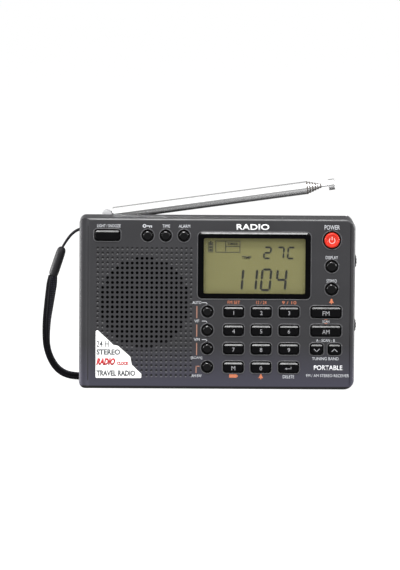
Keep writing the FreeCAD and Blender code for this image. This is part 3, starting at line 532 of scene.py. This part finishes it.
STRING_ROUTE = (
    (-76.5, 11.0, 66.9), (-73.9, 10.7, 71.2), (-70.7, 9.9, 74.8), (-67.4, 9.0, 76.5), (-63.9, 8.9, 76.9),
    (-63.9, 12.3, 76.9), (-67.4, 12.4, 76.6), (-70.8, 12.3, 74.9), (-74.0, 12.3, 71.4), (-76.5, 12.2, 66.9),
)
BAND_ROUTE = (
    (-81.0, 12.2, 53.0), (-82.6, 12.8, 41.5), (-84.4, 13.4, 28.0), (-84.1, 14.6, 14.5), (-77.3, 16.4, 3.4),
    (-64.5, 18.6, 1.7), (-53.0, 21.5, 1.7), (-41.5, 20.5, 1.7), (-30.5, 23.5, 1.7), (-20.5, 21.0, 1.7),
)
STRING_DIAMETER = 1.1 * MM
BAND_WIDTH = 5.0 * MM
LAYER_THICK = 1.7 * MM
TWIST = 50.0
TWIST_END = 0.36
WEAVE_ALONG, WEAVE_ACROSS = 9.0, 2.0


def route_curve(name, route):
    """An open NURBS spline with the route's points as its control points."""
    data = bpy.data.curves.new(name, "CURVE")
    data.dimensions = "3D"
    spline = data.splines.new("NURBS")
    spline.points.add(len(route) - 1)
    for point, place in zip(spline.points, route):
        point.co = (*[c * MM for c in place], 1.0)
    spline.order_u = 3
    spline.use_endpoint_u = True
    data.resolution_u = 12
    made = bpy.data.objects.new(name, data)
    bpy.context.scene.collection.objects.link(made)
    return made


def curve_points(holder):
    """The points of an unbevelled curve, in order."""
    bpy.context.view_layer.update()
    graph = bpy.context.evaluated_depsgraph_get()
    mesh = bpy.data.meshes.new_from_object(holder.evaluated_get(graph))
    points = [v.co.copy() for v in mesh.vertices]
    bpy.data.meshes.remove(mesh)
    return points


def path_length(points):
    return sum((b - a).length for a, b in zip(points, points[1:]))


def make_string():
    """The thin string: out of the sleeve, round the pin in the case and back into the sleeve."""
    string = route_curve("strap_string_cord", STRING_ROUTE)
    length = path_length(curve_points(string))
    string.data.bevel_depth = STRING_DIAMETER / 2
    string.data.bevel_resolution = 4
    string.data.use_fill_caps = True
    string.data.materials.append(MATERIALS["string_black"])
    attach(string, "cabinet")
    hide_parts("strap_string")


def layer_section(side, wide):
    """One layer of the band in cross-section: a soft-cornered strip on its side of the fold line."""
    outline = []
    half_w, half_t = wide / 2, LAYER_THICK / 2
    for i in range(16):
        angle = 2 * math.pi * i / 16
        across = math.copysign(abs(math.cos(angle)) ** 0.35, math.cos(angle)) * half_w
        through = math.copysign(abs(math.sin(angle)) ** 0.6, math.sin(angle)) * half_t
        outline.append((across, through + side * (half_t * 0.96)))
    return outline


def band_frames(points):
    """At each point: tangent, width direction and the direction through the layers."""
    frames = []
    total = path_length(points)
    walked = 0.0
    for i, point in enumerate(points):
        if i:
            walked += (point - points[i - 1]).length
        before, after = points[max(0, i - 1)], points[min(len(points) - 1, i + 1)]
        tangent = (after - before).normalized()
        # The wide side faces half forward at the sleeve and lies front to back from TWIST_END on.
        turn = math.radians(TWIST * max(0.0, 1 - walked / total / TWIST_END) ** 1.3)
        depth = Vector((0, 1, 0))
        through = tangent.cross(depth).normalized()
        depth = through.cross(tangent).normalized()
        width_way = depth * math.cos(turn) + through * math.sin(turn)
        frames.append((tangent, width_way, tangent.cross(width_way).normalized(), walked))
    return frames


def make_band():
    """The doubled webbing loop: two layers side by side that part a little at the fold."""
    route = route_curve("strap_band_route", BAND_ROUTE)
    points = curve_points(route)
    bpy.data.objects.remove(route)
    frames = band_frames(points)
    verts, faces, uvs = [], [], []
    for side in (-1, 1):
        section = layer_section(side, BAND_WIDTH)
        start = len(verts)
        for point, (tangent, width_way, through, walked) in zip(points, frames):
            # The sleeve gathers the webbing over its first four millimetres.
            pinch = 0.72 + 0.28 * min(1.0, walked / (4 * MM))
            for across, offset in section:
                verts.append(point + width_way * across * pinch + through * offset)
                uvs.append((walked / BAND_WIDTH * WEAVE_ALONG, across / BAND_WIDTH * WEAVE_ACROSS))
        rows, ring = len(points), len(section)
        for i in range(rows - 1):
            for j in range(ring):
                k = (j + 1) % ring
                faces.append((start + i * ring + j, start + i * ring + k,
                              start + (i + 1) * ring + k, start + (i + 1) * ring + j))
        faces.append(tuple(start + j for j in range(ring))[::-1])
        faces.append(tuple(start + (rows - 1) * ring + j for j in range(ring)))
    mesh = bpy.data.meshes.new("strap_band_webbing")
    mesh.from_pydata([tuple(v) for v in verts], [], faces)
    layer = mesh.uv_layers.new(name="UVMap")
    for loop in mesh.loops:
        layer.data[loop.index].uv = uvs[loop.vertex_index]
    mesh.update()
    band = new_object("strap_band_webbing", mesh, MATERIALS["band_black"], "cabinet")
    for polygon in mesh.polygons:
        polygon.use_smooth = True
    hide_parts("strap_band")
    make_sleeve()


def make_sleeve():
    """The moulded sleeve between the string and the band: a soft barrel with a rolled top."""
    top = Vector((-76.4, 11.6, 66.9)) * MM
    bottom = Vector(BAND_ROUTE[0]) * MM
    line = bottom - top
    profile = ((-0.03, 0.0), (-0.03, 0.7), (-0.01, 1.3), (0.03, 1.8), (0.09, 2.15), (0.2, 2.3),
               (0.5, 2.35), (0.8, 2.35), (0.92, 2.3), (0.97, 2.1), (1.0, 1.7), (1.0, 0.0))
    around = 28
    along = line.normalized()
    side = along.cross(Vector((0, 1, 0))).normalized()
    deep = side.cross(along).normalized()
    verts = []
    for share, radius in profile:
        for i in range(around):
            angle = 2 * math.pi * i / around
            out = side * math.cos(angle) * radius * MM + deep * math.sin(angle) * radius * 1.05 * MM
            verts.append(tuple(top + line * share + out))
    faces = []
    for i in range(len(profile) - 1):
        for j in range(around):
            k = (j + 1) % around
            faces.append((i * around + j, (i + 1) * around + j, (i + 1) * around + k, i * around + k))
    mesh = bpy.data.meshes.new("strap_sleeve_moulding")
    mesh.from_pydata(verts, [], faces)
    mesh.update()
    for polygon in mesh.polygons:
        polygon.use_smooth = True
    sleeve = new_object("strap_sleeve_moulding", mesh, MATERIALS["sleeve_black"], "cabinet")
    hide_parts("strap_sleeve")
    return sleeve


make_string()
make_band()


# ------------------------------------------------------------------ display

VIEW_LOW = low("display_window")
LCD_Y = low("lcd_panel")[1]
SLANT = math.tan(math.radians(5.0))

SEGMENTS = {
    "0": "abcdef", "1": "bc", "2": "abged", "4": "fgbc", "7": "abc", "C": "afed",
}


def segment_outline(letter, x, z, width, height, bar):
    """One bar of a seven-segment figure with pointed ends, in a figure whose lower left corner is (x, z)."""
    gap = bar * 0.14
    half = height / 2
    flat = {"a": height - bar / 2, "g": half, "d": bar / 2}
    tall = {"b": (width - bar / 2, half, height), "c": (width - bar / 2, 0.0, half),
            "e": (bar / 2, 0.0, half), "f": (bar / 2, half, height)}
    if letter in flat:
        level = flat[letter]
        left, right = bar / 2 + gap, width - bar / 2 - gap
        points = [(left, level), (left + bar / 2, level - bar / 2), (right - bar / 2, level - bar / 2),
                  (right, level), (right - bar / 2, level + bar / 2), (left + bar / 2, level + bar / 2)]
    else:
        centre, start, end = tall[letter]
        start = start + gap + (bar / 2 if start == 0 else 0)
        end = end - gap - (bar / 2 if end == height else 0)
        points = [(centre, start), (centre + bar / 2, start + bar / 2), (centre + bar / 2, end - bar / 2),
                  (centre, end), (centre - bar / 2, end - bar / 2), (centre - bar / 2, start + bar / 2)]
    return [(x + px + pz * SLANT, z + pz) for px, pz in points]


def figure(character, x, z, width, height, bar):
    return [segment_outline(s, x, z, width, height, bar) for s in SEGMENTS[character]]


def make_display():
    """The figures and small marks on the liquid crystal panel, and their faint painted shadows behind."""
    left, base = VIEW_LOW[0], VIEW_LOW[2]

    def at(x, z):
        return left + x * MM, base + z * MM

    # Width, height and bar of the two sizes of figure.
    small = (3.9 * MM, 6.2 * MM, 0.8 * MM)
    large = (5.3 * MM, 11.1 * MM, 1.02 * MM)
    line = 0.25 * MM
    dark = []
    for character, x in (("2", 29.6), ("7", 36.0), ("C", 41.2)):
        dark += figure(character, *at(x, 17.6), *small)
    for character, x in (("1", 14.4), ("1", 21.2), ("0", 28.1), ("4", 35.6)):
        dark += figure(character, *at(x, 1.9), *large)
    # Two small framed fields and a battery mark at the upper left.
    x0, z0 = at(6.5, 20.9)
    x1, z1 = at(18.3, 26.4)
    mid_x, mid_z = x0 + (x1 - x0) * 0.41, (z0 + z1) / 2 + 0.1 * MM
    dark += stroke([(x0, z0), (x1, z0), (x1, z1), (x0, z1), (x0, z0)], line)
    dark += stroke([(mid_x, z0), (mid_x, z1)], line) + stroke([(mid_x, mid_z), (x1, mid_z)], line)
    x, z = at(3.0, 21.0)
    dark += stroke(points_near(x, z, (0, 0), (2.0, 0), (2.0, 4.6), (0, 4.6), (0, 0)), line)
    dark.append(box_near(x, z, 0.6, 1.4, 4.7, 5.2))
    for level in (0.5, 1.9, 3.3):
        dark.append(box_near(x, z, 0.4, 1.6, level, level + 0.9))
    # Painted shadows: each mark copied a little to the right and down, in a pale ink under the figures.
    shade = [[(x + 0.28 * MM, z - 0.22 * MM) for x, z in outline] for outline in dark]
    printed_shapes("lcd_shadows", shade, LCD_Y, LCD_PAINTED_SHADOW)
    ink_y = LCD_Y - 2 * (PRINT_LIFT + PRINT_THICK)
    printed_shapes("lcd_figures", dark, ink_y, LCD_INK)
    field = ((mid_x + x1) / 2, mid_z + 1.25 * MM)
    for name, words, place, height, width in (("lcd_timer", "TIMER", field, 1.35, 5.4),
                                              ("lcd_temp", "TEMP", at(21.6, 18.3), 1.5, 4.6)):
        printed_text(name, words, place, height * MM, ink_y, LCD_INK, width=width * MM,
                     bold=0.02)


make_display()


# ------------------------------------------------------------------ print on the keys and the panel

# How far the left column's words and lines stand to the left of its buttons, in millimetres.
COLUMN_PRINT = 5.2


def key_print():
    """Digits and marks on the key caps; each rides on its own key."""
    def cap_text(name, words, node, drop, height, width=None):
        centre = middle(node)
        printed_text(name, words, (centre.x, centre.z - drop * MM), height * MM, low(node)[1], KEY_PRINT,
                     node + "_body", width=width)

    def cap_mark(name, outlines, node, material=KEY_PRINT):
        return printed_shapes(name, outlines, low(node)[1], material, node + "_body")

    for digit in "0123456789":
        cap_text("digit_" + digit, digit, "key_" + digit, 0.45, 1.95)
    cap_text("mark_memory", "M", "key_memory", 0.45, 2.0)
    centre = middle("key_enter")
    x, z = centre.x, centre.z - 0.5 * MM
    arrow = stroke(points_near(x, z, (1.2, 0.8), (1.2, -0.1), (-1.0, -0.1)), 0.26 * MM)
    arrow.append(points_near(x, z, (-1.8, -0.1), (-0.8, -0.65), (-0.8, 0.45)))
    cap_mark("mark_enter", arrow, "key_enter")
    cap_text("mark_fm", "FM", "button_fm", 0.5, 2.1, 3.4 * MM)
    cap_text("mark_am", "AM", "button_am", 0.5, 2.1, 3.6 * MM)
    for node, way in (("button_down", -1), ("button_up", 1)):
        centre = middle(node)
        x, z = centre.x, centre.z - 0.5 * MM
        points = points_near(x, z, (-1.3, -0.6 * way), (0, 0.65 * way), (1.3, -0.6 * way))
        cap_mark("chevron_" + node, stroke(points, 0.36 * MM), node)
    centre = middle("button_power")
    ring = arc_band(centre.x, centre.z - 0.1 * MM, 1.4 * MM, 130, 410, 0.38 * MM)
    ring.append(box_near(centre.x, centre.z, -0.19, 0.19, 0.1, 1.8))
    settle(cap_mark("mark_power", ring, "button_power", POWER_PRINT), "button_power")


def panel_words():
    """Plain function words beside the controls, in the panel's white and orange inks."""
    def word(name, words, node, dx, dz, height, width, material=WHITE_PRINT):
        centre = middle(node)
        printed_text(name, words, (centre.x + dx * MM, centre.z + dz * MM), height * MM, PANEL_Y, material,
                     width=width * MM)

    word("word_light", "LIGHT / SNOOZE", "button_light_snooze", 0.7, 4.6, 1.5, 11.4)
    word("word_time", "TIME", "button_time", 0.2, 4.7, 1.5, 3.7)
    word("word_alarm", "ALARM", "button_alarm", 0.2, 4.7, 1.5, 5.6)
    word("word_power", "POWER", "button_power", 0.0, 6.3, 2.2, 7.4)
    word("word_display", "DISPLAY", "button_display", 0.0, 4.3, 1.5, 6.0)
    word("word_stereo", "STEREO", "button_stereo", 0.0, 4.0, 1.5, 5.0)
    word("word_delete", "DELETE", "key_enter", 0.0, -4.6, 1.6, 5.6)
    word("word_tuning", "TUNING BAND", "button_down", 4.3, -4.7, 1.5, 13.0)
    word("word_scan", "A - SCAN - B", "button_down", 4.3, 4.3, 1.4, 9.2)
    word("word_one", "FM SET", "key_1", 0.0, 4.6, 1.6, 6.0, ORANGE_PRINT)
    word("word_two", "12 / 24", "key_2", 0.0, 4.6, 1.6, 5.0, ORANGE_PRINT)
    word("word_three", "9 / 10", "key_3", 0.0, 4.6, 1.6, 7.0, ORANGE_PRINT)
    for name, words, node, dz, width in (("store", "AUTO", "button_auto_store", 4.4, 4.4),
                                         ("frequency", "VF", "button_view_frequency", 4.4, 2.4),
                                         ("memory", "VM", "button_view_memory", 4.4, 2.8),
                                         ("scan", "[SCAN]", "button_bandwidth", 4.4, 5.4),
                                         ("width", "AM BW", "button_bandwidth", -4.4, 5.0)):
        word("column_" + name, words, node, -COLUMN_PRINT, dz, 1.4, width)
    title = (middle("display_bezel").x - 0.8 * MM, high("display_bezel")[2] + 2.6 * MM)
    printed_text("word_radio", "RADIO", title, 2.9 * MM, PANEL_Y, BRIGHT_PRINT, width=16.0 * MM, bold=0.022)
    corner_x, corner_z = middle("button_up").x, middle("key_0").z
    printed_text("word_world", "PORTABLE", (corner_x - 3.0 * MM, corner_z - 0.1 * MM), 2.3 * MM, PANEL_Y,
                 BRIGHT_PRINT, width=14.0 * MM, bold=0.012)
    printed_text("word_receiver", "FM / AM STEREO RECEIVER", (corner_x - 3.2 * MM, corner_z - 4.0 * MM),
                 1.4 * MM, PANEL_Y, WHITE_PRINT, width=21.0 * MM)


def panel_marks():
    """Small pictorial marks and the lines that join the left column's words."""
    lock = middle("button_lock")
    x, z = lock.x - 1.6 * MM, lock.z + 4.7 * MM
    key = arc_band(x, z, 0.7 * MM, 0, 360, 0.4 * MM, 16)
    key.append(box_near(x, z, 0.95, 3.7, -0.2, 0.2))
    key.append(box_near(x, z, 2.3, 2.7, -0.8, -0.25))
    key.append(box_near(x, z, 3.2, 3.6, -0.8, -0.25))
    printed_shapes("mark_lock", key, PANEL_Y, WHITE_PRINT)
    column = middle("button_auto_store").x - COLUMN_PRINT * MM
    names = ("button_auto_store", "button_view_frequency", "button_view_memory", "button_bandwidth")
    bars = []
    for upper, lower in zip(names, names[1:]):
        top, bottom = middle(upper).z + 2.7 * MM, middle(lower).z + 5.8 * MM
        bars.append(box_outline(column - 0.22 * MM, column + 0.22 * MM, bottom, top))
    z = middle("button_bandwidth").z
    bars += stroke(points_near(column, z, (-0.2, -2.9), (-0.2, 0.3), (1.3, 0.3)), 0.45 * MM)
    printed_shapes("column_lines", bars, PANEL_Y, ORANGE_LINE)
    ticks = []
    for name in names[:3]:
        ticks += stroke(points_near(column, middle(name).z, (2.6, 4.4), (4.6, 4.4), (5.0, 3.8)), 0.28 * MM)
    printed_shapes("column_ticks", ticks, PANEL_Y, WHITE_PRINT)
    # A battery mark, two bell marks and a pair of arrow heads in orange ink.
    memory = middle("key_memory")
    x, z = memory.x, memory.z - 4.4 * MM
    marks = [box_near(x, z, -2.0, 1.7, -0.85, 0.85), box_near(x, z, 1.75, 2.2, -0.4, 0.4)]
    for node, drop in (("key_0", -4.5), ("button_stereo", -5.9)):
        centre = middle(node)
        x, z = centre.x, centre.z + drop * MM
        marks.append(points_near(x, z, (-1.2, -0.9), (1.2, -0.9), (0.55, 0.2), (0.35, 1.1), (-0.35, 1.1),
                                 (-0.55, 0.2)))
        marks.append(disc_outline(x, z - 1.2 * MM, 0.3 * MM, 10))
    between = (middle("button_fm") + middle("button_am")) / 2
    for way in (1, -1):
        marks.append(points_near(between.x, between.z, (-0.8, 0.75 * way), (0.8, 0.75 * way), (0, 1.6 * way)))
    printed_shapes("orange_marks", marks, PANEL_Y, ORANGE_PRINT)
    printed_text("word_tune", "SCAN", (between.x, between.z), 1.2 * MM, PANEL_Y, WHITE_PRINT, width=3.4 * MM)


def rounded_outline(cx, cz, half_x, half_z, corner):
    """Points round a rectangle with round corners; the corner can be as large as the halves."""
    points = []
    for x, z, start in ((1, 1, 0), (-1, 1, 90), (-1, -1, 180), (1, -1, 270)):
        turn_x, turn_z = cx + x * (half_x - corner), cz + z * (half_z - corner)
        points += arc_points(turn_x, turn_z, corner, start, start + 90, 8)
    return points


# Sections of a lip and of a flat strip: shares of the width and of the height.
LIP = ((0.0, -0.02), (0.12, 0.62), (0.32, 0.95), (0.5, 1.0), (0.68, 0.95), (0.88, 0.62), (1.0, -0.02))
FLAT = ((0.0, 1.0), (1.0, 1.0))
KEY_FLANGE = 0.7 * MM
KEY_CORNER = 0.9 * MM
GAP_START = 0.33 * MM
GAP_SHADE_SHEET_TALL = 0.01 * MM


def raised_rim(name, cx, cz, half_x, half_z, corner, first, wide, tall, steps=LIP, material=RIM_PAINTED_HIGHLIGHT):
    """A small rounded lip on the panel, a set distance outside an outline."""
    verts, faces = [], []
    for across, up in steps:
        grow = first + across * wide
        loop = rounded_outline(cx, cz, half_x + grow, half_z + grow, corner + grow)
        verts += [(x, PANEL_Y - up * tall, z) for x, z in loop]
    count = len(verts) // len(steps)
    for ring in range(len(steps) - 1):
        for i in range(count):
            a, b = ring * count + i, ring * count + (i + 1) % count
            faces.append((a, b, b + count, a + count))
    mesh = bpy.data.meshes.new(name)
    mesh.from_pydata(verts, [], faces)
    mesh.update()
    for face in mesh.polygons:
        face.use_smooth = True
    new_object(name, mesh, material, "cabinet")


def panel_rims():
    """The fine lips that frame the display and every key, in plastic painted lighter as a painted highlight,
    and a near-black sheet inside each key's lip as the painted shade of its gap.
    """
    for node in nodes:
        if not (node.startswith("key_") and node != "key_switches") and not node.startswith("button_"):
            continue
        lo, hi, centre = low(node), high(node), middle(node)
        half_x, half_z = (hi[0] - lo[0]) / 2 - KEY_FLANGE, (hi[2] - lo[2]) / 2 - KEY_FLANGE
        round_cap = abs(half_x - half_z) < 0.05 * MM
        outline = (centre.x, centre.z, half_x, half_z, half_x if round_cap else KEY_CORNER)
        outside = (0.72 if round_cap else 0.57) * MM
        raised_rim("rim_" + node, *outline, outside, 0.55 * MM, 0.26 * MM)
        # A near-black sheet a hundredth of a millimetre thick inside each key's lip: painted shade of the
        # gap.
        raised_rim("gap_shade_sheet_" + node, *outline, GAP_START, outside - GAP_START, GAP_SHADE_SHEET_TALL, FLAT, GAP_SHADE_SHEET)
    lo, hi, centre = low("display_bezel"), high("display_bezel"), middle("display_bezel")
    outline = (centre.x, centre.z, (hi[0] - lo[0]) / 2, (hi[2] - lo[2]) / 2, 2.2 * MM)
    raised_rim("rim_display", *outline, 0.0, 0.5 * MM, 0.3 * MM)


def make_label():
    """The label's sheet: the CAD outline with its left margin trimmed."""
    margin, trim = 2.6 * MM, 0.9 * MM
    mesh = nodes["front_label"].data.copy()
    world, left = nodes["front_label"].matrix_world, low("front_label")[0]
    for vertex in mesh.vertices:
        vertex.co = world @ vertex.co
        if vertex.co.x < left + margin:
            vertex.co.x += trim
    sheet = new_object("label_sheet", mesh, MATERIALS["label_white"], "cabinet")
    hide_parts("front_label")


def label_print():
    """Plain generic words on the adhesive label, in grey and red inks."""
    lo = low("front_label")

    def line(name, words, left, base, width, height, ink, bold=0.0, lean=0.0):
        centre = (lo[0] + (left + width / 2) * MM, lo[2] + (base + height / 2) * MM)
        printed_text(name, words, centre, height * MM, lo[1], ink, width=width * MM, bold=bold, lean=lean)

    line("label_word_hours", "24 H", 1.3, 15.3, 6.0, 3.0, LABEL_GREY, bold=0.012)
    line("label_word_stereo", "STEREO", 1.3, 11.4, 11.6, 2.8, LABEL_GREY, bold=0.04)
    line("label_word_radio", "RADIO", 1.5, 6.3, 9.0, 3.5, LABEL_RED, bold=0.065, lean=0.2)
    line("label_word_clock", "CLOCK", 11.4, 6.4, 5.8, 1.7, LABEL_RED, bold=0.07)
    line("label_word_portable", "TRAVEL RADIO", 1.3, 1.0, 19.0, 2.8, LABEL_GREY, bold=0.045)


def antenna_rings():
    """A dark line turned into the mouth of each tube, where the next section slides out."""
    pivot = Vector((-54.3, 9.0, 83.8)) * MM
    lean = math.radians(8.0)
    outer_radius, radius_step = 3.22 * MM, 0.43 * MM
    outer_mouth, mouth_step = 100.0 * MM, 1.33 * MM
    along = Vector((math.cos(lean), 0.0, math.sin(lean)))
    side = Vector((0.0, 1.0, 0.0))
    up = along.cross(side)
    around = 32
    # Distance from the mouth and growth past the tube's radius, from the ring's inner end to its outer end.
    section = ((-0.70, -0.02), (-0.70, 0.015), (-0.03, 0.015), (-0.03, -0.02))
    for number in range(6):
        radius, mouth = outer_radius - radius_step * number, outer_mouth + mouth_step * number
        verts, faces = [], []
        for distance, grow in section:
            for i in range(around):
                angle = 2 * math.pi * i / around
                out = side * math.cos(angle) + up * math.sin(angle)
                verts.append(pivot + along * (mouth + distance * MM) + out * (radius + grow * MM))
        for ring in range(len(section) - 1):
            for i in range(around):
                a, b = ring * around + i, ring * around + (i + 1) % around
                faces.append((a, b, b + around, a + around))
        mesh = bpy.data.meshes.new("antenna_ring_%d" % number)
        mesh.from_pydata(verts, [], faces)
        mesh.update()
        body = "antenna_slide_%d" % number if number else "antenna_tube"
        new_object("antenna_ring_%d" % number, mesh, RING_STEEL, body)


key_print()
panel_words()
panel_marks()
panel_rims()
make_label()
label_print()
antenna_rings()


# ------------------------------------------------------------------ floor and light

def make_stage():
    """A wide pale floor."""
    half = 14.0
    mesh = bpy.data.meshes.new("floor")
    corners = [(-half, -half, 0), (half, -half, 0), (half, half, 0), (-half, half, 0)]
    mesh.from_pydata(corners, [], [(0, 1, 2, 3)])
    floor = bpy.data.objects.new("floor", mesh)
    bpy.context.scene.collection.objects.link(floor)
    recipe = Recipe("floor_paper", (0.10, 0.10, 0.10), 0.9, ior=1.1)
    recipe.vary_colour(recipe.noise(6.0, 2.0), 0.01)
    recipe.shader.inputs["Emission Color"].default_value = (1.0, 1.0, 1.0, 1.0)
    recipe.shader.inputs["Emission Strength"].default_value = 0.92
    mesh.materials.append(recipe.material)
    floor.location.z = -0.02 * MM


def area_light(name, place, aim, size, power):
    data = bpy.data.lights.new(name, "AREA")
    data.shape = "RECTANGLE"
    data.size, data.size_y = size
    data.energy = power
    lamp = bpy.data.objects.new(name, data)
    bpy.context.scene.collection.objects.link(lamp)
    lamp.location = place
    lamp.rotation_mode = "QUATERNION"
    lamp.rotation_quaternion = (Vector(aim) - Vector(place)).to_track_quat("-Z", "Y")


def make_light():
    """A soft white surround that is brighter in front, a softbox above the front and a strip at each side."""
    world = bpy.data.worlds.new("studio")
    world.use_nodes = True
    tree = world.node_tree
    background = tree.nodes["Background"]
    background.inputs["Color"].default_value = (1.0, 1.0, 1.0, 1.0)
    direction = tree.nodes.new("ShaderNodeTexCoord")
    lean = tree.nodes.new("ShaderNodeVectorMath")
    lean.operation = "DOT_PRODUCT"
    lean.inputs[1].default_value = (0.0, 0.8, 0.6)
    towards = tree.nodes.new("ShaderNodeMapRange")
    for name, value in (("From Min", -0.05), ("From Max", 0.45), ("To Min", 1.4), ("To Max", 0.4)):
        towards.inputs[name].default_value = value
    tree.links.new(direction.outputs["Generated"], lean.inputs[0])
    tree.links.new(lean.outputs["Value"], towards.inputs["Value"])
    tree.links.new(towards.outputs["Result"], background.inputs["Strength"])
    bpy.context.scene.world = world
    centre = (0.0, 0.0, 0.045)
    area_light("softbox_top", (-0.1, -0.40, 0.92), centre, (0.5, 0.12), 11.0)
    area_light("softbox_front", (-0.1, -0.95, 0.92), centre, (0.6, 0.13), 8.5)
    area_light("strip_left", (-0.95, 0.10, 0.16), centre, (0.4, 0.5), 32.0)
    area_light("strip_right", (0.95, 0.10, 0.16), centre, (0.4, 0.5), 28.0)
    bpy.context.scene.view_settings.view_transform = "Standard"
    bpy.context.scene.view_settings.look = "None"


make_stage()
make_light()
